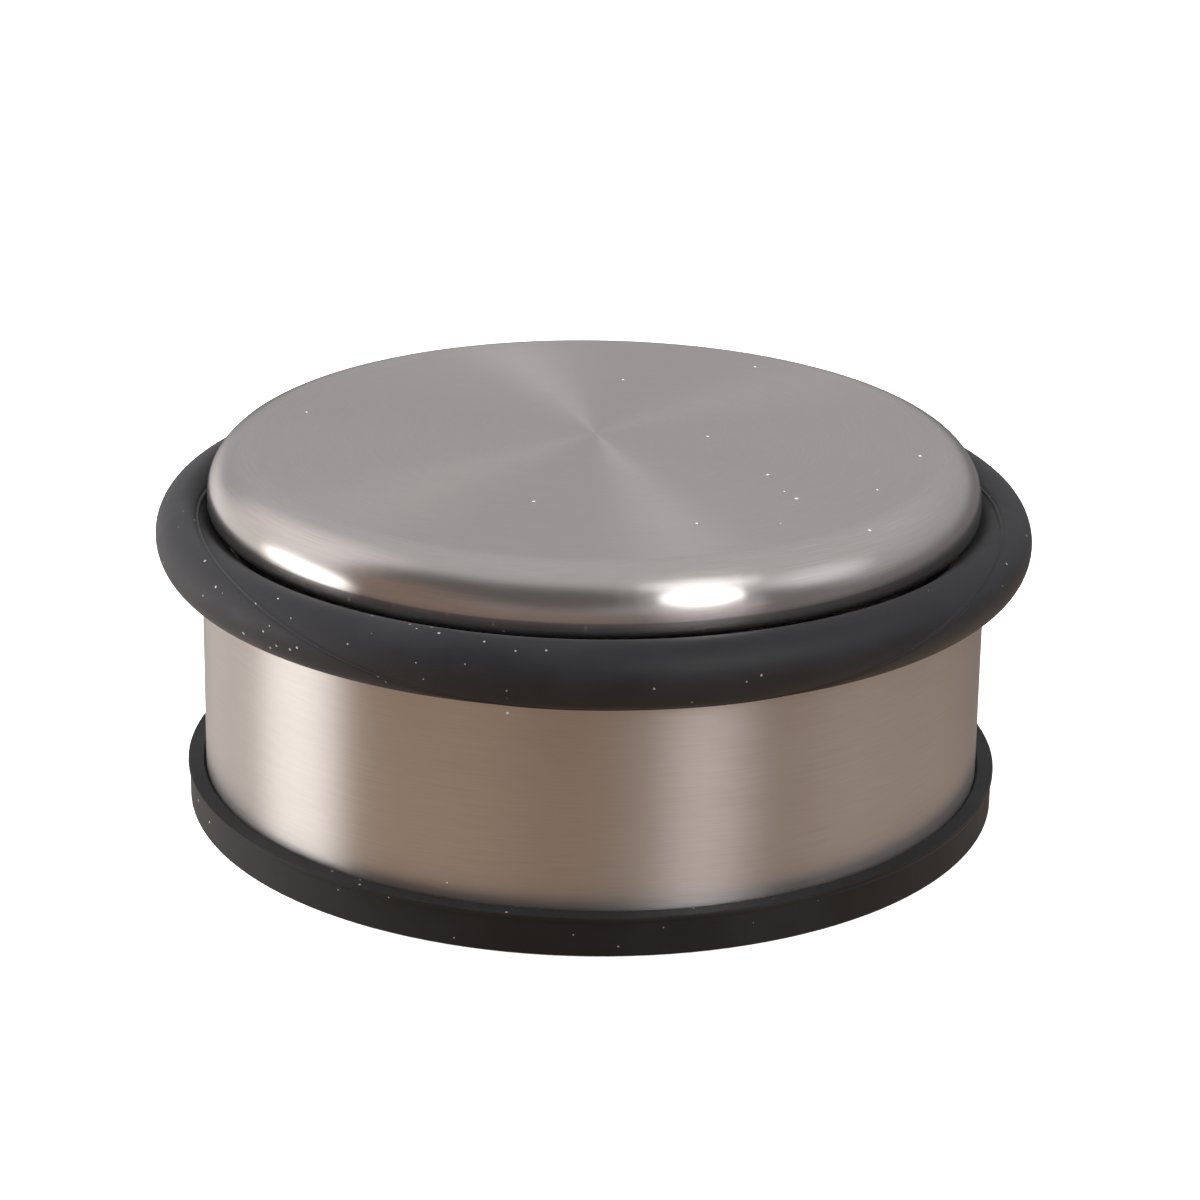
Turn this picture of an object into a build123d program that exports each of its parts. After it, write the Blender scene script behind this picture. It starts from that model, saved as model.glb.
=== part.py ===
"""Weighted floor door stop: a brushed steel shell over an iron ballast, with a rubber bumper ring and foot.

The origin is the centre of the foot's underside, +Z is up, and all sizes are in millimetres.
Every piece is round about Z and is stacked on one long stud that hangs from the top cap.
"""

import os

from build123d import *

# Shell
SHEET = 0.8  # thickness of the drawn stainless sheet
SLEEVE_EDGE = 0.15
BODY_R = 45.0  # outside of the sleeve
CAP_R = 44.25  # outside of the cap's skirt
CAP_TOP_Z = 43.5  # middle of the crown, the highest point of the whole object
CROWN_DROP = 1.2  # how far the crown falls from its middle to the skirt's radius
SHOULDER_R = 5.4  # outside bend between the crown and the skirt
CURL_R = 1.0  # outside bend where skirt and sleeve turn in beside the bumper
FLANGE_R = 41.0  # inner edge of both turned-in flanges

# Bumper ring: an elliptical cord whose inner side is squeezed to a tongue by the groove's two lips
RING_Z = 32.55
RING_MID_R = 46.87
RING_A = 3.43  # half width, along the radius
RING_B = 3.8  # half height
RING_WRAP = 122  # the free ellipse reaches this far each way from its outermost point, in degrees
TONGUE_R = 42.3
TONGUE_HALF = 1.25
TONGUE_EDGE_R = 0.6
CAP_FLANGE_Z = 35.2  # underside of the cap's flange
SLEEVE_TOP_Z = 29.3  # top of the sleeve's flange
SEAT_OUTER_R = 42.0
SEAT_WALL = 1.2
SEAT_EDGE = 0.25

# Foot and base plate
FOOT_FLOOR = 2.6
FOOT_R = 46.9
FOOT_LIP_R = 47.1
FOOT_RIM_Z = 4.75
FOOT_BORE_R = BODY_R + 0.05  # the rim just clears the sleeve
FOOT_LIP = 0.4  # height of the proud lip round the top of the rim
FOOT_LEAD_IN = 0.3
FOOT_HEEL_R = 0.5
FOOT_LIP_EDGE_R = 0.12
TREAD_DEPTH = 0.9
TREAD_WIDTH = 1.8
TREAD_PITCH = 4.8
TREAD_COUNT = 8
TREAD_FIRST_R = 7.0
TAPE = 0.5
TAPE_R = 42.0
PLATE = 2.0
PLATE_R = 43.9
PLATE_EDGE = 0.2
PLATE_Z = FOOT_FLOOR + TAPE

# Ballast
LOWER_WEIGHT_Z = PLATE_Z + PLATE
LOWER_WEIGHT_R = 43.7
LOWER_WEIGHT_TOP_Z = SLEEVE_TOP_Z - SHEET
UPPER_WEIGHT_R = 40.3
UPPER_WEIGHT_TOP_Z = 38.4
CAST_EDGE = 1.2
POCKET_R = 10.0
POCKET_DEPTH = 10.0
CORE_INNER_R = 15.0
CORE_OUTER_R = 38.0
CORE_DEPTH = 6.0
SPOKE_WIDTH = 16.0
PAD = 3.3
PAD_R = 37.5
PAD_GAP = 0.5  # between the pad's hole and the stud's flange

# Fasteners: one M6 weld stud with its nut, and three M4 countersunk screws
STUD_R = 3.0
STUD_HOLE_R = 3.3
STUD_END_Z = 6.2
STUD_POINT = 0.6
STUD_FLANGE_R = 6.0
STUD_FLANGE = 1.4
WELD_GAP = 0.04  # keeps the flat stud flange clear of the domed sheet
WASHER_R = 8.5
WASHER = 1.6
WASHER_EDGE = 0.2
SPRING_WASHER_R = 5.6
SPRING_WASHER = 1.6
SPRING_WASHER_GAP = 1.2
SPRING_WASHER_SLANT = 20
NUT_ACROSS_FLATS = 10.0
NUT = 5.0
NUT_BORE_R = 3.02
SCREW_COUNT = 3
SCREW_CIRCLE_R = 30.0
SCREW_R = 2.0
SCREW_HEAD_R = 3.9
SCREW_PLAY = 0.12
SCREW_LENGTH = 12.0
TAPPED_R = 2.03
CROSS_WIDTH = 1.0
CROSS_LENGTH = 4.2
CROSS_DEPTH = 1.1

CAP_WALL_R = CAP_R - SHEET
BODY_WALL_R = BODY_R - SHEET
crown_radius = CAP_R**2 / (2 * CROWN_DROP) + CROWN_DROP / 2
POCKET_TOP_Z = LOWER_WEIGHT_Z + POCKET_DEPTH


def crown_z(radius, depth=0.0):
    """Height of the crown at a distance from the axis, measured depth below the outer skin."""
    sphere = crown_radius - depth
    return CAP_TOP_Z - crown_radius + (sphere**2 - radius**2) ** 0.5


def corner(section, radius, height):
    """The corner of a section sketch that lies nearest to a radius and a height."""
    return section.vertices().sort_by_distance((radius, height))[0]


# Top cap: one drawn sheet with a domed crown, a round shoulder, a short skirt and a turned-in flange
with BuildPart() as top_cap:
    with BuildSketch(Plane.XZ) as cap_section:
        with BuildLine():
            RadiusArc((0, CAP_TOP_Z), (CAP_R, crown_z(CAP_R)), crown_radius)
            Polyline(
                (CAP_R, crown_z(CAP_R)),
                (CAP_R, CAP_FLANGE_Z),
                (FLANGE_R, CAP_FLANGE_Z),
                (FLANGE_R, CAP_FLANGE_Z + SHEET),
                (CAP_WALL_R, CAP_FLANGE_Z + SHEET),
                (CAP_WALL_R, crown_z(CAP_WALL_R, SHEET)),
            )
            RadiusArc(
                (0, CAP_TOP_Z - SHEET),
                (CAP_WALL_R, crown_z(CAP_WALL_R, SHEET)),
                crown_radius - SHEET,
            )
            Line((0, CAP_TOP_Z - SHEET), (0, CAP_TOP_Z))
        make_face()
        fillet(corner(cap_section, CAP_R, crown_z(CAP_R)), SHOULDER_R)
        fillet(corner(cap_section, CAP_WALL_R, crown_z(CAP_WALL_R, SHEET)), SHOULDER_R - SHEET)
        fillet(corner(cap_section, CAP_R, CAP_FLANGE_Z), CURL_R)
        fillet(corner(cap_section, CAP_WALL_R, CAP_FLANGE_Z + SHEET), CURL_R - SHEET)
    revolve(axis=Axis.Z)

# Weld stud: hangs from the middle of the cap and clamps the whole stack
stud_top_z = crown_z(STUD_FLANGE_R, SHEET) - WELD_GAP
with BuildPart() as cap_stud:
    with BuildSketch(Plane.XY.offset(stud_top_z)):
        Circle(STUD_FLANGE_R)
    extrude(amount=-STUD_FLANGE)
    with BuildSketch(Plane.XY.offset(STUD_END_Z)):
        Circle(STUD_R)
    extrude(amount=stud_top_z - STUD_FLANGE - STUD_END_Z)
    chamfer(cap_stud.edges().sort_by(Axis.Z)[0], STUD_POINT)

# Foam pad: fills the hollow crown, so that the cap neither drums nor dents
with BuildPart() as cap_pad:
    with BuildSketch(Plane.XY.offset(UPPER_WEIGHT_TOP_Z)):
        Circle(PAD_R)
        Circle(STUD_FLANGE_R + PAD_GAP, mode=Mode.SUBTRACT)
    extrude(amount=PAD)

# Upper weight: an iron disc that stands inside the bumper's seat
with BuildPart() as upper_weight:
    with BuildSketch(Plane.XY.offset(LOWER_WEIGHT_TOP_Z)):
        Circle(UPPER_WEIGHT_R)
    extrude(amount=UPPER_WEIGHT_TOP_Z - LOWER_WEIGHT_TOP_Z)
    chamfer(upper_weight.edges(), CAST_EDGE)
    with Locations(upper_weight.faces().sort_by(Axis.Z)[-1]):
        Hole(STUD_HOLE_R)

# Ring seat: a rolled hoop, the floor of the groove that holds the bumper
with BuildPart() as ring_seat:
    with BuildSketch(Plane.XY.offset(SLEEVE_TOP_Z)):
        Circle(SEAT_OUTER_R)
        Circle(SEAT_OUTER_R - SEAT_WALL, mode=Mode.SUBTRACT)
    extrude(amount=CAP_FLANGE_Z - SLEEVE_TOP_Z)
    chamfer(ring_seat.edges(), SEAT_EDGE)

# Bumper ring: solid rubber, stretched on to the seat, full outside and a tongue inside the groove
with BuildPart() as bumper_ring:
    with BuildSketch(Plane.XZ) as ring_section:
        with BuildLine():
            free = EllipticalCenterArc(
                (RING_MID_R, RING_Z), RING_A, RING_B, start_angle=-RING_WRAP, arc_size=2 * RING_WRAP
            )
            Polyline(
                free @ 1,
                (TONGUE_R, RING_Z + TONGUE_HALF),
                (TONGUE_R, RING_Z - TONGUE_HALF),
                free @ 0,
            )
        make_face()
        fillet(corner(ring_section, TONGUE_R, RING_Z + TONGUE_HALF), TONGUE_EDGE_R)
        fillet(corner(ring_section, TONGUE_R, RING_Z - TONGUE_HALF), TONGUE_EDGE_R)
    revolve(axis=Axis.Z)

# Sleeve: the straight drawn side, turned in at the top to carry the seat
with BuildPart() as body_sleeve:
    with BuildSketch(Plane.XZ) as sleeve_section:
        with BuildLine():
            Polyline(
                (BODY_WALL_R, FOOT_FLOOR),
                (BODY_R, FOOT_FLOOR),
                (BODY_R, SLEEVE_TOP_Z),
                (FLANGE_R, SLEEVE_TOP_Z),
                (FLANGE_R, SLEEVE_TOP_Z - SHEET),
                (BODY_WALL_R, SLEEVE_TOP_Z - SHEET),
                close=True,
            )
        make_face()
        fillet(corner(sleeve_section, BODY_R, SLEEVE_TOP_Z), CURL_R)
        fillet(corner(sleeve_section, BODY_WALL_R, SLEEVE_TOP_Z - SHEET), CURL_R - SHEET)
        chamfer(corner(sleeve_section, BODY_R, FOOT_FLOOR), SLEEVE_EDGE)
    revolve(axis=Axis.Z)

# Lower weight: the main iron casting, cored from below between its three screw bosses
with BuildPart() as lower_weight:
    with BuildSketch(Plane.XY.offset(LOWER_WEIGHT_Z)):
        Circle(LOWER_WEIGHT_R)
    extrude(amount=LOWER_WEIGHT_TOP_Z - LOWER_WEIGHT_Z)
    chamfer(lower_weight.edges(), CAST_EDGE)
    with BuildSketch(Plane.XY.offset(LOWER_WEIGHT_Z)):
        Circle(CORE_OUTER_R)
        Circle(CORE_INNER_R, mode=Mode.SUBTRACT)
        with PolarLocations(CORE_OUTER_R / 2, SCREW_COUNT):
            Rectangle(CORE_OUTER_R + CAST_EDGE, SPOKE_WIDTH, mode=Mode.SUBTRACT)
    extrude(amount=CORE_DEPTH, mode=Mode.SUBTRACT)
    with BuildSketch(Plane.XY.offset(LOWER_WEIGHT_Z)):
        Circle(POCKET_R)
    extrude(amount=POCKET_DEPTH, mode=Mode.SUBTRACT)
    with BuildSketch(Plane.XY.offset(POCKET_TOP_Z)):
        Circle(STUD_HOLE_R)
    extrude(amount=LOWER_WEIGHT_TOP_Z - POCKET_TOP_Z, mode=Mode.SUBTRACT)
    with BuildSketch(Plane.XY.offset(LOWER_WEIGHT_Z)):
        with PolarLocations(SCREW_CIRCLE_R, SCREW_COUNT):
            Circle(TAPPED_R)
    extrude(amount=SCREW_LENGTH, mode=Mode.SUBTRACT)

# Washer, spring washer and nut: close the stack inside the casting's pocket
washer_z = POCKET_TOP_Z - WASHER
with BuildPart() as stud_washer:
    with BuildSketch(Plane.XY.offset(washer_z)):
        Circle(WASHER_R)
        Circle(STUD_HOLE_R, mode=Mode.SUBTRACT)
    extrude(amount=WASHER)
    chamfer(stud_washer.edges().filter_by(GeomType.CIRCLE).group_by(SortBy.RADIUS)[-1], WASHER_EDGE)

spring_washer_z = washer_z - SPRING_WASHER
with BuildPart() as stud_spring_washer:
    with BuildSketch(Plane.XY.offset(spring_washer_z)):
        Circle(SPRING_WASHER_R)
        Circle(STUD_HOLE_R, mode=Mode.SUBTRACT)
        with Locations(((STUD_HOLE_R + SPRING_WASHER_R) / 2, 0)):
            Rectangle(SPRING_WASHER_R, SPRING_WASHER_GAP, rotation=SPRING_WASHER_SLANT, mode=Mode.SUBTRACT)
    extrude(amount=SPRING_WASHER)

nut_z = spring_washer_z - NUT
with BuildPart() as stud_nut:
    with BuildSketch(Plane.XY.offset(nut_z)):
        RegularPolygon(NUT_ACROSS_FLATS / 2, 6, major_radius=False)
        Circle(NUT_BORE_R, mode=Mode.SUBTRACT)
    extrude(amount=NUT)
    with BuildSketch(Plane.XZ):
        with BuildLine():
            Polyline(
                (NUT_ACROSS_FLATS / 2, nut_z),
                (NUT_ACROSS_FLATS, nut_z),
                (NUT_ACROSS_FLATS, nut_z + NUT_ACROSS_FLATS / 4),
                close=True,
            )
        make_face()
    revolve(axis=Axis.Z, mode=Mode.SUBTRACT)

# Base plate: closes the sleeve from below and is screwed to the casting
with BuildPart() as base_plate:
    with BuildSketch(Plane.XY.offset(PLATE_Z)):
        Circle(PLATE_R)
    extrude(amount=PLATE)
    chamfer(base_plate.edges(), PLATE_EDGE)
    with Locations(Plane.XY.offset(PLATE_Z).rotated((180, 0, 0))):
        with PolarLocations(SCREW_CIRCLE_R, SCREW_COUNT):
            CounterSinkHole(SCREW_R + SCREW_PLAY, SCREW_HEAD_R + SCREW_PLAY)

# Screws: countersunk, with a cross recess, flush with the underside of the plate
with BuildPart() as base_screws:
    with BuildSketch(Plane.XY.offset(PLATE_Z)):
        with PolarLocations(SCREW_CIRCLE_R, SCREW_COUNT):
            Circle(SCREW_HEAD_R)
    extrude(amount=SCREW_HEAD_R - SCREW_R, taper=45)
    with BuildSketch(Plane.XY.offset(PLATE_Z)):
        with PolarLocations(SCREW_CIRCLE_R, SCREW_COUNT):
            Circle(SCREW_R)
    extrude(amount=SCREW_LENGTH)
    with BuildSketch(Plane.XY.offset(PLATE_Z)):
        with PolarLocations(SCREW_CIRCLE_R, SCREW_COUNT):
            Rectangle(CROSS_LENGTH, CROSS_WIDTH)
            Rectangle(CROSS_WIDTH, CROSS_LENGTH)
    extrude(amount=CROSS_DEPTH, mode=Mode.SUBTRACT)

# Adhesive disc: double-sided foam tape between the foot and the plate
with BuildPart() as foot_tape:
    with BuildSketch(Plane.XY.offset(FOOT_FLOOR)):
        Circle(TAPE_R)
    extrude(amount=TAPE)

# Foot: a moulded rubber tray whose rim grips the sleeve, with a ringed tread below
with BuildPart() as base_foot:
    with BuildSketch(Plane.XZ) as foot_section:
        with BuildLine():
            Polyline(
                (0, 0),
                (FOOT_R, 0),
                (FOOT_R, FOOT_RIM_Z - 2 * FOOT_LIP),
                (FOOT_LIP_R, FOOT_RIM_Z - FOOT_LIP),
                (FOOT_LIP_R, FOOT_RIM_Z),
                (FOOT_BORE_R + FOOT_LEAD_IN, FOOT_RIM_Z),
                (FOOT_BORE_R, FOOT_RIM_Z - FOOT_LEAD_IN),
                (FOOT_BORE_R, FOOT_FLOOR),
                (0, FOOT_FLOOR),
                close=True,
            )
        make_face()
        fillet(corner(foot_section, FOOT_R, 0), FOOT_HEEL_R)
        fillet(corner(foot_section, FOOT_LIP_R, FOOT_RIM_Z), FOOT_LIP_EDGE_R)
    revolve(axis=Axis.Z)
    with BuildSketch(Plane.XY):
        # from the outermost groove in, since each new disc covers what lies inside it
        for step in reversed(range(TREAD_COUNT)):
            groove_r = TREAD_FIRST_R + step * TREAD_PITCH
            Circle(groove_r + TREAD_WIDTH / 2)
            Circle(groove_r - TREAD_WIDTH / 2, mode=Mode.SUBTRACT)
    extrude(amount=TREAD_DEPTH, mode=Mode.SUBTRACT)

PIECES = {
    "top_cap": top_cap,
    "cap_stud": cap_stud,
    "cap_pad": cap_pad,
    "upper_weight": upper_weight,
    "ring_seat": ring_seat,
    "bumper_ring": bumper_ring,
    "body_sleeve": body_sleeve,
    "lower_weight": lower_weight,
    "stud_washer": stud_washer,
    "stud_spring_washer": stud_spring_washer,
    "stud_nut": stud_nut,
    "base_plate": base_plate,
    "base_screws": base_screws,
    "foot_tape": foot_tape,
    "base_foot": base_foot,
}

os.makedirs("parts", exist_ok=True)
for name, piece in PIECES.items():
    piece.part.label = name
    export_step(piece.part, f"parts/{name}.step")
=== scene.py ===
"""Looks of the weighted floor door stop: brushed steel, rubber, cast iron and a plain studio.

Lengths are in metres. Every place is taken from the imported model's boxes, and the axis of revolution is Z.
"""

import math

import bmesh
import bpy
from mathutils import Matrix, Vector


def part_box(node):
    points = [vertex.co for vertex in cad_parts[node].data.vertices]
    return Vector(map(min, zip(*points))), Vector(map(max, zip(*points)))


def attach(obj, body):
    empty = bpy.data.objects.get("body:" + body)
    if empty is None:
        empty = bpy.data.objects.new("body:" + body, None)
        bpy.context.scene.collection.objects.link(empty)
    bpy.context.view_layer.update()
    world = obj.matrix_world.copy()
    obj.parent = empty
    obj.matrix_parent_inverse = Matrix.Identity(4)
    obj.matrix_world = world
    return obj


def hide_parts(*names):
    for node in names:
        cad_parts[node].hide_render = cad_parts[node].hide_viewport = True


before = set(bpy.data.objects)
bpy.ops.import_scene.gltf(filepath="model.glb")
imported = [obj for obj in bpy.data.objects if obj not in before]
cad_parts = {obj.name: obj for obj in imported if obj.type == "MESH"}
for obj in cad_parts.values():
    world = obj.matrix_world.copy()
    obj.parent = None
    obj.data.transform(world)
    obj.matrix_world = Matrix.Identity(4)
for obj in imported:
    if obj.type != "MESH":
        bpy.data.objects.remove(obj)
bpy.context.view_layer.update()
MM = 0.001


# ---------------------------------------------------------------- node trees


def new_material(name):
    """A new node material, with its tree and its shader."""
    material = bpy.data.materials.new(name)
    material.use_nodes = True
    return material, material.node_tree, material.node_tree.nodes["Principled BSDF"]


def put(socket, value):
    """Links an output to a socket, or sets the socket to a constant."""
    if isinstance(value, bpy.types.NodeSocket):
        socket.id_data.links.new(value, socket)
    elif value is not None:
        socket.default_value = value


def math_node(tree, operation, first, second):
    """One arithmetic operation on two values."""
    node = tree.nodes.new("ShaderNodeMath")
    node.operation = operation
    put(node.inputs[0], first)
    put(node.inputs[1], second)
    return node.outputs[0]


def vector_node(tree, operation, first, second=None):
    """One operation on one or two vectors, which gives a value for a length or a dot product."""
    node = tree.nodes.new("ShaderNodeVectorMath")
    node.operation = operation
    put(node.inputs[0], first)
    put(node.inputs[1], second)
    return node.outputs["Value" if operation in ("LENGTH", "DOT_PRODUCT") else "Vector"]


def noise(tree, vector, scale, detail=2.0):
    """A value between 0 and 1 that varies smoothly with the vector."""
    node = tree.nodes.new("ShaderNodeTexNoise")
    put(node.inputs["Vector"], vector)
    node.inputs["Scale"].default_value = scale
    node.inputs["Detail"].default_value = detail
    return node.outputs["Fac"]


def rescale(tree, value, low, high, new_low, new_high):
    """Maps low..high to new_low..new_high and clamps the result."""
    node = tree.nodes.new("ShaderNodeMapRange")
    put(node.inputs["Value"], value)
    for key, number in (("From Min", low), ("From Max", high), ("To Min", new_low), ("To Max", new_high)):
        node.inputs[key].default_value = number
    return node.outputs["Result"]


def blend_colour(tree, factor, first, second):
    """The first colour where the factor is 0, and the second where it is 1."""
    node = tree.nodes.new("ShaderNodeMix")
    node.data_type = "RGBA"
    put(node.inputs["Factor"], factor)
    put(node.inputs["A"], first if isinstance(first, bpy.types.NodeSocket) else (*first, 1.0))
    put(node.inputs["B"], second if isinstance(second, bpy.types.NodeSocket) else (*second, 1.0))
    return node.outputs["Result"]


def bump(tree, height, distance, strength):
    """A normal tilted by a height between 0 and 1 that stands for a real distance."""
    node = tree.nodes.new("ShaderNodeBump")
    node.inputs["Strength"].default_value = strength
    node.inputs["Distance"].default_value = distance
    put(node.inputs["Height"], height)
    return node.outputs["Normal"]


def object_point(tree):
    """The place on the piece, in its own coordinates."""
    return tree.nodes.new("ShaderNodeTexCoord").outputs["Object"]


def lathe_point(tree):
    """(cos, sin, s): the direction round the axis, and the distance s along any lathe-turned profile."""
    split = tree.nodes.new("ShaderNodeSeparateXYZ")
    put(split.inputs[0], object_point(tree))
    flat = tree.nodes.new("ShaderNodeCombineXYZ")
    put(flat.inputs["X"], split.outputs["X"])
    put(flat.inputs["Y"], split.outputs["Y"])
    radius = vector_node(tree, "LENGTH", flat.outputs[0])
    around = tree.nodes.new("ShaderNodeSeparateXYZ")
    put(around.inputs[0], vector_node(tree, "NORMALIZE", flat.outputs[0]))
    joined = tree.nodes.new("ShaderNodeCombineXYZ")
    put(joined.inputs["X"], around.outputs["X"])
    put(joined.inputs["Y"], around.outputs["Y"])
    put(joined.inputs["Z"], math_node(tree, "SUBTRACT", split.outputs["Z"], radius))
    return joined.outputs[0]


def streaks(tree, point, size, radius, detail=2.0):
    """Noise drawn out round the axis: streaks of a size (length, width) on a part of a given radius."""
    length, width = size
    stretched = vector_node(tree, "MULTIPLY", point, (radius / length, radius / length, 1.0 / width))
    return noise(tree, stretched, 1.0, detail)


def specks(tree, point, spacing, size, share):
    """1 on small round specks. There is one site per spacing, and a share of the sites carries a speck."""
    cells = tree.nodes.new("ShaderNodeTexVoronoi")
    put(cells.inputs["Vector"], point)
    cells.inputs["Scale"].default_value = 1.0 / spacing
    chance = tree.nodes.new("ShaderNodeSeparateColor")
    put(chance.inputs[0], cells.outputs["Color"])
    reach = rescale(tree, chance.outputs["Green"], 0.0, 1.0, 0.35 * size / spacing, size / spacing)
    near = math_node(tree, "LESS_THAN", cells.outputs["Distance"], reach)
    chosen = math_node(tree, "LESS_THAN", chance.outputs["Red"], share)
    return math_node(tree, "MULTIPLY", near, chosen)


# ---------------------------------------------------------------- materials

DUST_TONE = (0.24, 0.23, 0.215)
STEEL_DRIFT = (24 * MM, -21 * MM, 43 * MM)  # where most of the dust on the cap lies
RUBBER_DRIFT = (-24 * MM, -43 * MM, 33 * MM)  # and most of that on the bumper
STEEL_DUST = (0.8, 0.8, 0.78)
FINE_SPECKS = (0.8 * MM, 0.17 * MM)  # spacing and size
COARSE_SPECKS = (2.2 * MM, 0.26 * MM)


def dust(tree, point, share):
    """1 on settled dust: many fine specks and a few coarse ones."""
    fine = specks(tree, point, *FINE_SPECKS, share)
    moved = vector_node(tree, "ADD", point, (0.11, 0.07, 0.05))
    coarse = specks(tree, moved, *COARSE_SPECKS, share)
    return math_node(tree, "MAXIMUM", fine, coarse)


def drift(tree, point, middle, reach, sparse, dense):
    """A share of dust that rises from sparse to dense within a reach of a place."""
    away = vector_node(tree, "LENGTH", vector_node(tree, "SUBTRACT", point, middle))
    return rescale(tree, away, 0.3 * reach, reach, dense, sparse)


HAIR_SIZE = (5.0 * MM, 0.10 * MM)  # length and width of the steel's fine scratches
BAND_SIZE = (16.0 * MM, 0.45 * MM)
SWEEP_SIZE = (60.0 * MM, 3.0 * MM)


def brushed_steel(name, tint, roughness, anisotropy, radius, bend=None):
    """Stainless sheet brushed round the axis: fine scratches, broader bands and a few dull patches.

    A bend that was drawn over a die, given as (inner radius, outer radius, gloss), is burnished smoother.
    """
    material, tree, shader = new_material(name)
    point = lathe_point(tree)
    place = object_point(tree)
    hair = streaks(tree, point, HAIR_SIZE, radius, 3.0)
    band = streaks(tree, point, BAND_SIZE, radius)
    sweep = streaks(tree, point, SWEEP_SIZE, radius)
    smear = noise(tree, place, 45.0, 3.0)
    dark = tuple(0.94 * c for c in tint)
    light = tuple(1.03 * c for c in tint)
    colour = blend_colour(tree, rescale(tree, hair, 0.3, 0.7, 0.0, 1.0), dark, light)
    settled = dust(tree, place, drift(tree, place, STEEL_DRIFT, 16 * MM, 0.003, 0.04))
    put(shader.inputs["Base Color"], blend_colour(tree, settled, colour, STEEL_DUST))
    put(shader.inputs["Metallic"], math_node(tree, "SUBTRACT", 1.0, settled))
    texture = math_node(tree, "MULTIPLY", hair, 0.5)
    for part, weight in ((band, 0.3), (sweep, 0.2)):
        texture = math_node(tree, "ADD", texture, math_node(tree, "MULTIPLY", part, weight))
    worn = math_node(tree, "ADD", texture, rescale(tree, smear, 0.45, 0.75, 0.0, 0.18))
    dullness = rescale(tree, worn, 0.3, 0.8, roughness - 0.03, roughness + 0.05)
    if bend:
        inner, outer, gloss = bend
        flat = vector_node(tree, "MULTIPLY", place, (1.0, 1.0, 0.0))
        burnish = rescale(tree, vector_node(tree, "LENGTH", flat), inner, outer, 1.0, gloss)
        dullness = math_node(tree, "MULTIPLY", dullness, burnish)
    put(shader.inputs["Roughness"], dullness)
    shader.inputs["Anisotropic"].default_value = anisotropy
    shader.inputs["Anisotropic Rotation"].default_value = 0.25
    tangent = tree.nodes.new("ShaderNodeTangent")
    tangent.direction_type = "RADIAL"
    tangent.axis = "Z"
    put(shader.inputs["Tangent"], tangent.outputs[0])
    put(shader.inputs["Normal"], bump(tree, texture, 0.004 * MM, 0.35))
    return material


def moulded_rubber(name, tint, dust_share, sheen, specular):
    """Matte black rubber with a fine skin, slight mottling, and settled dust."""
    material, tree, shader = new_material(name)
    point = object_point(tree)
    mottle = noise(tree, point, 160.0, 3.0)
    skin = noise(tree, point, 2600.0, 2.0)
    pale = tuple(1.5 * c for c in tint)
    colour = blend_colour(tree, rescale(tree, mottle, 0.35, 0.7, 0.0, 1.0), tint, pale)
    bloom = rescale(tree, noise(tree, point, 60.0, 4.0), 0.5, 0.75, 0.0, 0.35)
    colour = blend_colour(tree, bloom, colour, tuple(c + 0.014 for c in pale))
    settled = dust(tree, point, drift(tree, point, RUBBER_DRIFT, 28 * MM, dust_share, 6 * dust_share))
    put(shader.inputs["Base Color"], blend_colour(tree, settled, colour, DUST_TONE))
    put(shader.inputs["Roughness"], rescale(tree, mottle, 0.3, 0.7, 0.50, 0.62))
    shader.inputs["Specular IOR Level"].default_value = specular
    shader.inputs["Sheen Weight"].default_value = sheen
    shader.inputs["Sheen Roughness"].default_value = 0.45
    height = math_node(tree, "ADD", math_node(tree, "MULTIPLY", skin, 0.3), settled)
    put(shader.inputs["Normal"], bump(tree, height, 0.03 * MM, 0.6))
    return material


def cast_iron(name):
    """As-cast grey iron: pitted, sooty in the hollows, with rust in small patches."""
    material, tree, shader = new_material(name)
    point = object_point(tree)
    grain = noise(tree, point, 900.0, 4.0)
    lumps = noise(tree, point, 220.0, 3.0)
    rust = rescale(tree, noise(tree, point, 90.0, 4.0), 0.56, 0.72, 0.0, 0.8)
    colour = blend_colour(tree, grain, (0.045, 0.045, 0.047), (0.14, 0.14, 0.14))
    put(shader.inputs["Base Color"], blend_colour(tree, rust, colour, (0.16, 0.065, 0.03)))
    put(shader.inputs["Roughness"], rescale(tree, lumps, 0.3, 0.7, 0.55, 0.8))
    shader.inputs["Metallic"].default_value = 0.6
    height = math_node(tree, "ADD", math_node(tree, "MULTIPLY", grain, 0.35), lumps)
    put(shader.inputs["Normal"], bump(tree, height, 0.15 * MM, 0.8))
    return material


def zinc_plate(name, tint, spangle):
    """Zinc plating: faint crystal patches, a yellow-blue tarnish and fine handling marks."""
    material, tree, shader = new_material(name)
    point = object_point(tree)
    cells = tree.nodes.new("ShaderNodeTexVoronoi")
    put(cells.inputs["Vector"], point)
    cells.inputs["Scale"].default_value = 1.0 / spangle
    patch = tree.nodes.new("ShaderNodeSeparateColor")
    put(patch.inputs[0], cells.outputs["Color"])
    tarnish = rescale(tree, noise(tree, point, 120.0, 3.0), 0.4, 0.7, 0.0, 0.5)
    colour = blend_colour(tree, patch.outputs["Red"], tuple(0.88 * c for c in tint), tint)
    put(shader.inputs["Base Color"], blend_colour(tree, tarnish, colour, (0.60, 0.57, 0.46)))
    put(shader.inputs["Roughness"], rescale(tree, patch.outputs["Green"], 0.0, 1.0, 0.28, 0.44))
    shader.inputs["Metallic"].default_value = 1.0
    put(shader.inputs["Normal"], bump(tree, noise(tree, point, 1500.0, 3.0), 0.01 * MM, 0.5))
    return material


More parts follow.
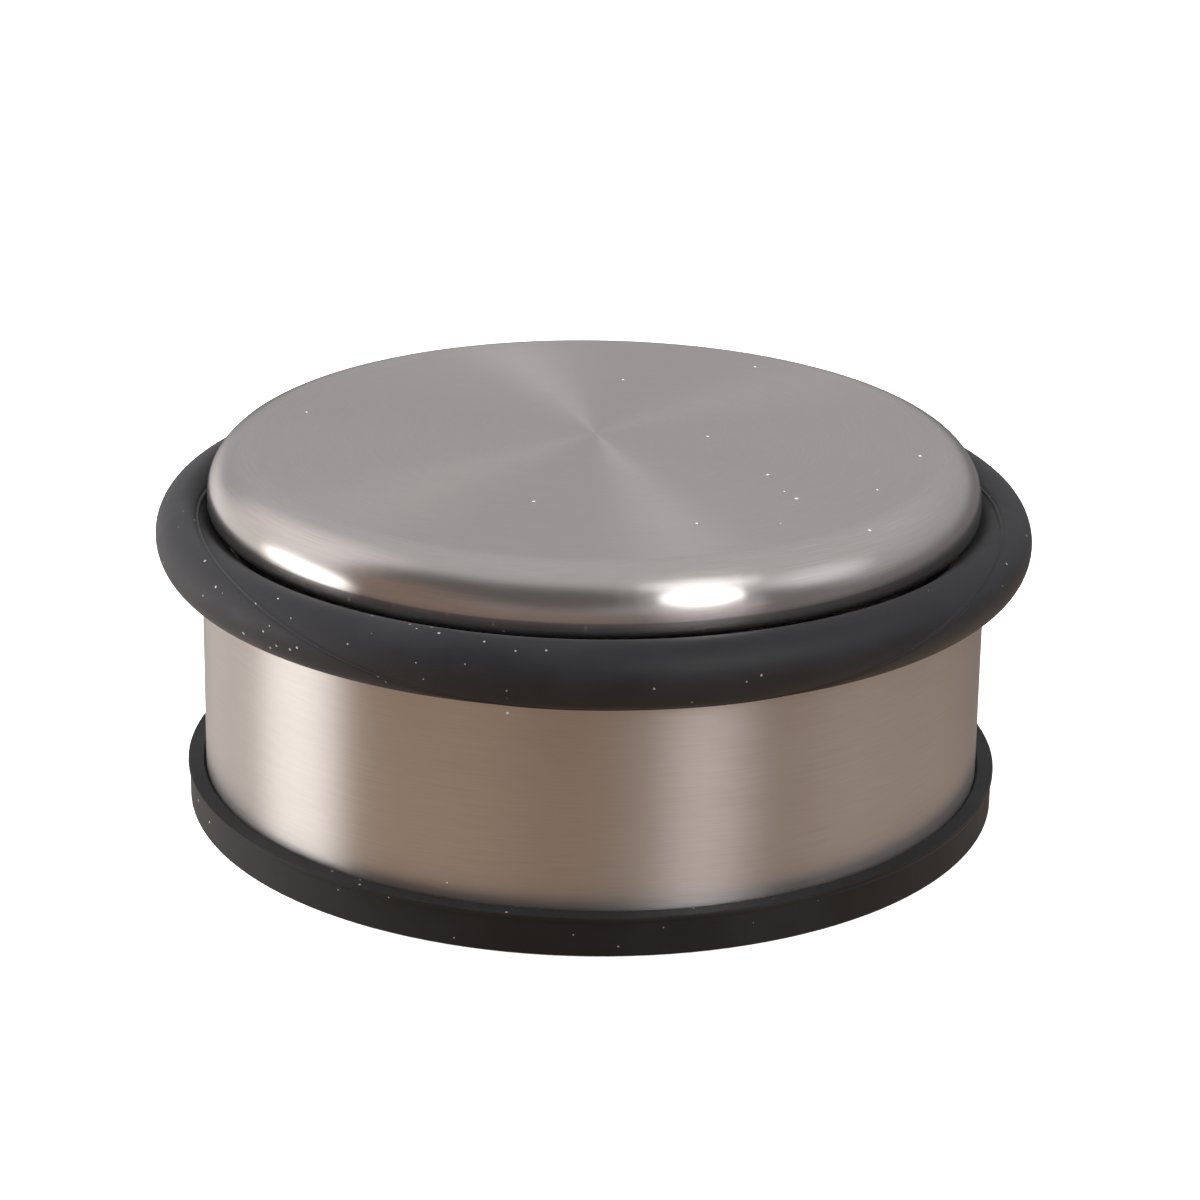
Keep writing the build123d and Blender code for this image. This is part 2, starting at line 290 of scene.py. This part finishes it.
def closed_cell_foam(name, dark, light, cell):
    """Foam sheet: a grain of small closed cells over a soft, uneven colour."""
    material, tree, shader = new_material(name)
    point = object_point(tree)
    cells = tree.nodes.new("ShaderNodeTexVoronoi")
    put(cells.inputs["Vector"], point)
    cells.inputs["Scale"].default_value = 1.0 / cell
    soft = noise(tree, point, 180.0, 3.0)
    put(shader.inputs["Base Color"], blend_colour(tree, soft, dark, light))
    put(shader.inputs["Roughness"], rescale(tree, soft, 0.3, 0.7, 0.85, 0.95))
    put(shader.inputs["Normal"], bump(tree, cells.outputs["Distance"], 0.08 * MM, 0.7))
    return material


# ---------------------------------------------------------------- the CAD nodes' materials

BODY_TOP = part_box("body_sleeve")[1]
BODY_R = BODY_TOP[0]
CAP_BEND = (38.7 * MM, 40.7 * MM, 0.55)  # where the shoulder starts and is fully burnished, and its gloss
STEEL_ROUGHNESS = 0.35
STEEL_ANISOTROPY = 0.88

STEEL_TINT = (0.63, 0.60, 0.58)
RUBBER_TINT = (0.0075, 0.0073, 0.0085)
FOOT_TINT = (0.006, 0.006, 0.006)

LOOKS = {
    brushed_steel("cap_steel", STEEL_TINT, STEEL_ROUGHNESS, STEEL_ANISOTROPY, BODY_R, CAP_BEND): ["top_cap"],
    brushed_steel("sleeve_steel", STEEL_TINT, STEEL_ROUGHNESS, STEEL_ANISOTROPY, BODY_R): ["body_sleeve"],
    moulded_rubber("foot_rubber", FOOT_TINT, 0.03, 0.01, 0.28): ["base_foot"],
    cast_iron("ballast_iron"): ["lower_weight", "upper_weight"],
    zinc_plate("zinc_sheet", (0.62, 0.62, 0.60), 2.2 * MM): ["base_plate", "ring_seat"],
    zinc_plate("zinc_fasteners", (0.70, 0.69, 0.66), 0.9 * MM): [
        "cap_stud", "stud_washer", "stud_spring_washer", "stud_nut", "base_screws",
    ],
    closed_cell_foam("pad_foam", (0.018, 0.018, 0.018), (0.04, 0.04, 0.04), 0.5 * MM): ["cap_pad"],
    closed_cell_foam("tape_foam", (0.60, 0.60, 0.57), (0.74, 0.74, 0.71), 0.3 * MM): ["foot_tape"],
}

for material, names in LOOKS.items():
    for name in names:
        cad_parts[name].data.materials.clear()
        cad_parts[name].data.materials.append(material)


# ---------------------------------------------------------------- bumper ring

RING_HALF_WIDTH = 3.43 * MM  # of the free ellipse, along the radius
RING_WRAP = math.radians(122)  # the free ellipse reaches this far each way round the section
TONGUE_HALF = 1.15 * MM
SEAM_WAVES = (91.0, 118.0, -30.0, 16.0)  # degrees: the seam's place on the section, as waves round the ring
SEAM_BACK = math.radians(96)  # direction in which the seam lies deepest in the groove
SEAM_HEIGHT = 0.11 * MM
SEAM_WIDTH = 0.15 * MM
SEAM_GROOVE = (0.7, 1.6)  # beside the flash: its depth in flash heights, and its distance in seam widths
SEAT_GAP = 0.3 * MM
RING_STEPS = 720
ROW_STEP = math.radians(5)
SLOPE_STEP = 0.01  # radians each way, to find the section's direction
SEAM_ROWS = [k * 0.08 * MM for k in range(-6, 7)]


def ring_point(turn, half_width, half_height, tongue_length):
    """Point of the ring's section, from its middle: a free ellipse outside, a curved tongue inside."""
    turn = (turn + math.pi) % (2 * math.pi) - math.pi
    side = 1.0 if turn >= 0 else -1.0
    turn = abs(turn)
    if turn <= RING_WRAP:
        return Vector((half_width * math.cos(turn), side * half_height * math.sin(turn)))
    start = Vector((half_width * math.cos(RING_WRAP), half_height * math.sin(RING_WRAP)))
    slope = Vector((-half_width * math.sin(RING_WRAP), half_height * math.cos(RING_WRAP)))
    end = Vector((-tongue_length, 0.0))
    reach = 0.5 * (start.x - end.x)
    controls = (start, start + slope.normalized() * reach, Vector((end.x, TONGUE_HALF)), end)
    u = (turn - RING_WRAP) / (math.pi - RING_WRAP)
    weights = ((1 - u) ** 3, 3 * u * (1 - u) ** 2, 3 * u * u * (1 - u), u**3)
    point = sum((w * c for w, c in zip(weights, controls)), Vector((0.0, 0.0)))
    return Vector((point.x, side * point.y))


def seam_turn(azimuth):
    """Where the mould's parting line lies on the section. It winds, as the ring was rolled on to its seat."""
    return math.radians(sum(w * math.cos(k * (azimuth - SEAM_BACK)) for k, w in enumerate(SEAM_WAVES)))


def section_rows(half_height):
    """Turns round the section from the seam: close together across it, and evenly spaced over the rest."""
    edge = SEAM_ROWS[-1] / half_height
    count = round((2 * math.pi - 2 * edge) / ROW_STEP)
    rest = [edge + k * (2 * math.pi - 2 * edge) / count for k in range(1, count)]
    return [offset / half_height for offset in SEAM_ROWS] + rest


def seam_relief(across):
    """How far the skin stands out, in flash heights, at a distance from the seam in seam widths."""
    depth, offset = SEAM_GROOVE
    return math.exp(-(across**2)) - depth * math.exp(-((across + offset) ** 2))


def build_ring():
    """The bumper as one grid whose rows follow the seam, so that the thin flash is real geometry."""
    low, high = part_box("bumper_ring")
    half_height = (high[2] - low[2]) / 2 - SEAM_HEIGHT
    half_width = RING_HALF_WIDTH - SEAM_HEIGHT
    middle_r = high[0] - RING_HALF_WIDTH
    middle_z = (high[2] + low[2]) / 2
    tongue = middle_r - (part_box("ring_seat")[1][0] + SEAT_GAP)
    rows = section_rows(half_height)
    mesh = bmesh.new()
    rings = []
    for step in range(RING_STEPS):
        azimuth = 2 * math.pi * step / RING_STEPS
        seam = seam_turn(azimuth)
        loop = []
        for turn in rows:
            place = ring_point(seam + turn, half_width, half_height, tongue)
            ahead = ring_point(seam + turn + SLOPE_STEP, half_width, half_height, tongue)
            behind = ring_point(seam + turn - SLOPE_STEP, half_width, half_height, tongue)
            along = (ahead - behind).normalized()
            outward = Vector((along.y, -along.x))
            if turn < math.pi:
                place = place + outward * SEAM_HEIGHT * seam_relief(turn * half_height / SEAM_WIDTH)
            r = middle_r + place.x
            loop.append(mesh.verts.new((r * math.cos(azimuth), r * math.sin(azimuth), middle_z + place.y)))
        rings.append(loop)
    for step, loop in enumerate(rings):
        after = rings[(step + 1) % RING_STEPS]
        for k in range(len(rows)):
            n = (k + 1) % len(rows)
            face = mesh.faces.new((loop[k], after[k], after[n], loop[n]))
            face.smooth = True
    data = bpy.data.meshes.new("bumper_ring_skin")
    mesh.to_mesh(data)
    mesh.free()
    ring = bpy.data.objects.new("bumper_ring_skin", data)
    bpy.context.scene.collection.objects.link(ring)
    ring.data.materials.append(moulded_rubber("bumper_rubber", RUBBER_TINT, 0.025, 0.03, 0.44))
    return ring


ring = build_ring()
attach(ring, "bumper")
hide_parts("bumper_ring")


# ---------------------------------------------------------------- studio

FLOOR_R = 4.0
BACKDROP_TONE = (1.05, 1.05, 1.05)  # what the camera sees behind the stop
FILL_TONE = (0.85, 0.85, 0.87)  # what lights the matte surfaces from above
UNDER_TONE = (0.35, 0.34, 0.33)  # and from below
LOW_WALL_TONE = (0.455, 0.445, 0.46)  # and what the steel reflects, from here on
HIGH_WALL_TONE = (0.585, 0.57, 0.58)
DARK_TONE = (0.14, 0.125, 0.12)
CORNER_TONE = (0.21, 0.19, 0.20)
WINDOW_TONE = (0.95, 0.92, 0.95)
GLOW_TONE = (1.00, 0.94, 0.93)
SKIRTING_TONE = (0.20, 0.185, 0.185)
WARM_TONE = (0.28, 0.205, 0.17)
TAIL_TONE = (0.70, 0.64, 0.66)
FLOOR_TONE = (0.43, 0.29, 0.19)
LIT_FLOOR_TONE = (0.60, 0.445, 0.32)
PALE_FLOOR_TONE = (0.62, 0.53, 0.46)

# Soft round patches of the room, laid over each other in this order. Each has a tone, the azimuth and the
# elevation of its middle, and the angles from there at which it ends and within which it is full, in degrees.
WALL_PATCHES = (
    (GLOW_TONE, (166, 30), 34, 10),
    (DARK_TONE, (-138, 33), 32, 12),
    (DARK_TONE, (-103, 33), 34, 17),
    (CORNER_TONE, (-33, 8), 26, 8),
    (WINDOW_TONE, (-14, 31), 19, 8),
    (WARM_TONE, (-145, 2), 32, 14),
)
SKIRTING_PATCHES = (
    (WARM_TONE, (-125, -8), 55, 30),
    (GLOW_TONE, (145, -3), 45, 15),
)
LAMP_PATCHES = (
    (TAIL_TONE, (-57, 2), 20, 8),
    ((0.85, 0.80, 0.77), (152, -3), 28, 8),
    ((3.2, 3.1, 3.0), (175, -7), 16, 6),
    ((3.7, 3.6, 3.5), (-174, -7), 14, 4),
    ((1.7, 1.67, 1.67), (-46, 55), 16, 6),
    ((5.0, 5.0, 5.0), (-56, 35), 12, 4),
    ((5.0, 5.0, 5.0), (-57, 25), 13, 4),
)
FLOOR_PATCHES = (
    (LIT_FLOOR_TONE, (-148, -25), 40, 15),
    (LIT_FLOOR_TONE, (15, -25), 42, 24),
    (PALE_FLOOR_TONE, (148, -25), 45, 20),
)

# Where one tone gives way to the next: between two heights of a direction, from -1 (down) to 1 (up).
WALL_FADE = (0.2, 0.6)
SKIRTING_FADE = (-0.04, 0.13)
FLOOR_FADE = (-0.42, -0.26)
FILL_FADE = (-0.3, 0.3)

LAMP_DISTANCE = 1.2
LENS = 116.5  # mm, on a sensor 36 mm wide
CAMERA_DISTANCE = 0.4589
CAMERA_ELEVATION = math.radians(23.38)
CAMERA_ROLL = math.radians(0.85)
CAMERA_AIM = (0.81 * MM, 0.0, 23.16 * MM)


def build_floor():
    """A lit white table just below the foot, seen by the camera alone: the stop reflects the room's floor."""
    mesh = bmesh.new()
    bmesh.ops.create_circle(mesh, cap_ends=True, segments=96, radius=FLOOR_R)
    data = bpy.data.meshes.new("floor")
    mesh.to_mesh(data)
    mesh.free()
    floor = bpy.data.objects.new("floor", data)
    floor.location.z = -0.02 * MM
    bpy.context.scene.collection.objects.link(floor)
    material, tree, shader = new_material("floor")
    tone = noise(tree, object_point(tree), 3.0, 2.0)
    put(shader.inputs["Base Color"], blend_colour(tree, tone, (0.86, 0.86, 0.86), (0.88, 0.88, 0.88)))
    shader.inputs["Roughness"].default_value = 0.9
    shader.inputs["Emission Color"].default_value = (1.0, 1.0, 1.0, 1.0)
    shader.inputs["Emission Strength"].default_value = 0.6
    data.materials.append(material)
    floor.visible_glossy = False
    floor.visible_diffuse = False


def towards(azimuth, elevation):
    """The unit vector that points at an azimuth and an elevation, in degrees."""
    a, e = math.radians(azimuth), math.radians(elevation)
    return Vector((math.cos(e) * math.cos(a), math.cos(e) * math.sin(a), math.sin(e)))


def lay_patches(tree, direction, tone, patches):
    """A tone with soft round patches laid over it in turn."""
    for patch_tone, middle, outer, inner in patches:
        reach = vector_node(tree, "DOT_PRODUCT", direction, towards(*middle))
        edge, full = math.cos(math.radians(outer)), math.cos(math.radians(inner))
        tone = blend_colour(tree, rescale(tree, reach, edge, full, 0.0, 1.0), tone, patch_tone)
    return tone


def fade(tree, height, span, below, above):
    """One tone below a span of heights, another above it, and a blend of the two within."""
    return blend_colour(tree, rescale(tree, height, *span, 0.0, 1.0), below, above)


def build_world():
    """Soft white light all round. Reflections see a grey room with a warm floor, dim and bright in places."""
    world = bpy.data.worlds.new("studio")
    bpy.context.scene.world = world
    world.use_nodes = True
    tree = world.node_tree
    direction = tree.nodes.new("ShaderNodeTexCoord").outputs["Generated"]
    split = tree.nodes.new("ShaderNodeSeparateXYZ")
    put(split.inputs[0], direction)
    height = split.outputs["Z"]
    walls = fade(tree, height, WALL_FADE, LOW_WALL_TONE, HIGH_WALL_TONE)
    walls = lay_patches(tree, direction, walls, WALL_PATCHES)
    skirting = lay_patches(tree, direction, SKIRTING_TONE, SKIRTING_PATCHES)
    walls = fade(tree, height, SKIRTING_FADE, skirting, walls)
    walls = lay_patches(tree, direction, walls, LAMP_PATCHES)
    floor = lay_patches(tree, direction, FLOOR_TONE, FLOOR_PATCHES)
    room = fade(tree, height, FLOOR_FADE, floor, walls)
    fill = fade(tree, height, FILL_FADE, UNDER_TONE, FILL_TONE)
    ray = tree.nodes.new("ShaderNodeLightPath")
    seen = blend_colour(tree, ray.outputs["Is Camera Ray"], fill, BACKDROP_TONE)
    seen = blend_colour(tree, ray.outputs["Is Glossy Ray"], seen, room)
    put(tree.nodes["Background"].inputs["Color"], seen)
    tree.nodes["Background"].inputs["Strength"].default_value = 1.0


def softbox(name, azimuth, elevation, width, height, radiance):
    """A rectangular soft light that faces the top of the sleeve, placed by its direction seen from there.

    It lights the matte surfaces and doesn't show in the steel.
    """
    data = bpy.data.lights.new(name, "AREA")
    data.shape = "RECTANGLE"
    data.size = width
    data.size_y = height
    data.energy = radiance * math.pi * width * height
    lamp = bpy.data.objects.new(name, data)
    lamp.location = Vector((0, 0, BODY_TOP[2])) + towards(azimuth, elevation) * LAMP_DISTANCE
    lamp.rotation_euler = towards(azimuth, elevation).to_track_quat("Z", "Y").to_euler()
    lamp.visible_glossy = False
    bpy.context.scene.collection.objects.link(lamp)


def build_camera():
    """A long lens in front of the stop, looking down on it, and rolled a little."""
    data = bpy.data.cameras.new("camera")
    data.sensor_width = 36.0
    data.lens = LENS
    data.clip_start = 0.01
    camera = bpy.data.objects.new("camera", data)
    camera.location = towards(-90, math.degrees(CAMERA_ELEVATION)) * CAMERA_DISTANCE
    look = (Vector(CAMERA_AIM) - camera.location).to_track_quat("-Z", "Y").to_matrix()
    camera.rotation_euler = (look @ Matrix.Rotation(CAMERA_ROLL, 3, "Z")).to_euler()
    bpy.context.scene.collection.objects.link(camera)
    bpy.context.scene.camera = camera


build_floor()
build_world()
softbox("matte_left", 168, 14, 0.90, 0.70, 30.0)
softbox("matte_right", -35, 35, 0.60, 0.60, 12.0)
build_camera()
bpy.context.scene.view_settings.view_transform = "Standard"
